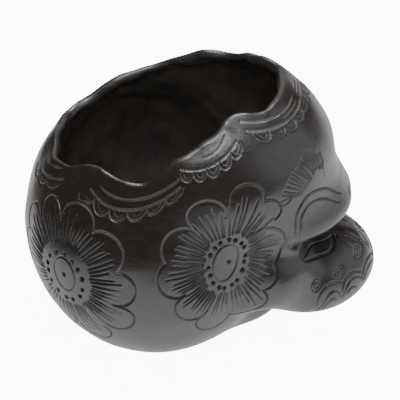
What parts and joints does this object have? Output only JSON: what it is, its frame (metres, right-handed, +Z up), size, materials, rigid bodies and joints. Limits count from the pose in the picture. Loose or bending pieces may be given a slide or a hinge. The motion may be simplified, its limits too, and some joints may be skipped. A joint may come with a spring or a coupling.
{
  "type": "skull-shaped clay bowl",
  "caption": "Skull-shaped planter bowl of burnished black clay, open at the top with a wavy rim, with engraved flowers, swags and a stylised face.",
  "frame": {"origin": "middle of the object's footprint box, on the surface it stands on", "axes": "+Z up, the face looks along -Y, the pot's own left side is +X"},
  "size_m": [0.142, 0.177, 0.1468],
  "materials": {
    "burnished_clay": "burnished black clay with a graphite sheen",
    "plain_clay": "matte, unburnished fired black clay"
  },
  "bodies": {
    "root": {"base_pad": "plain_clay", "lower_bowl": "burnished_clay", "upper_wall": "burnished_clay", "wavy_rim": "burnished_clay", "brow_left": "burnished_clay", "brow_right": "burnished_clay", "snout_shell": "burnished_clay", "palate_slab": "plain_clay", "nose_ridge": "burnished_clay"}
  },
  "joints": []
}
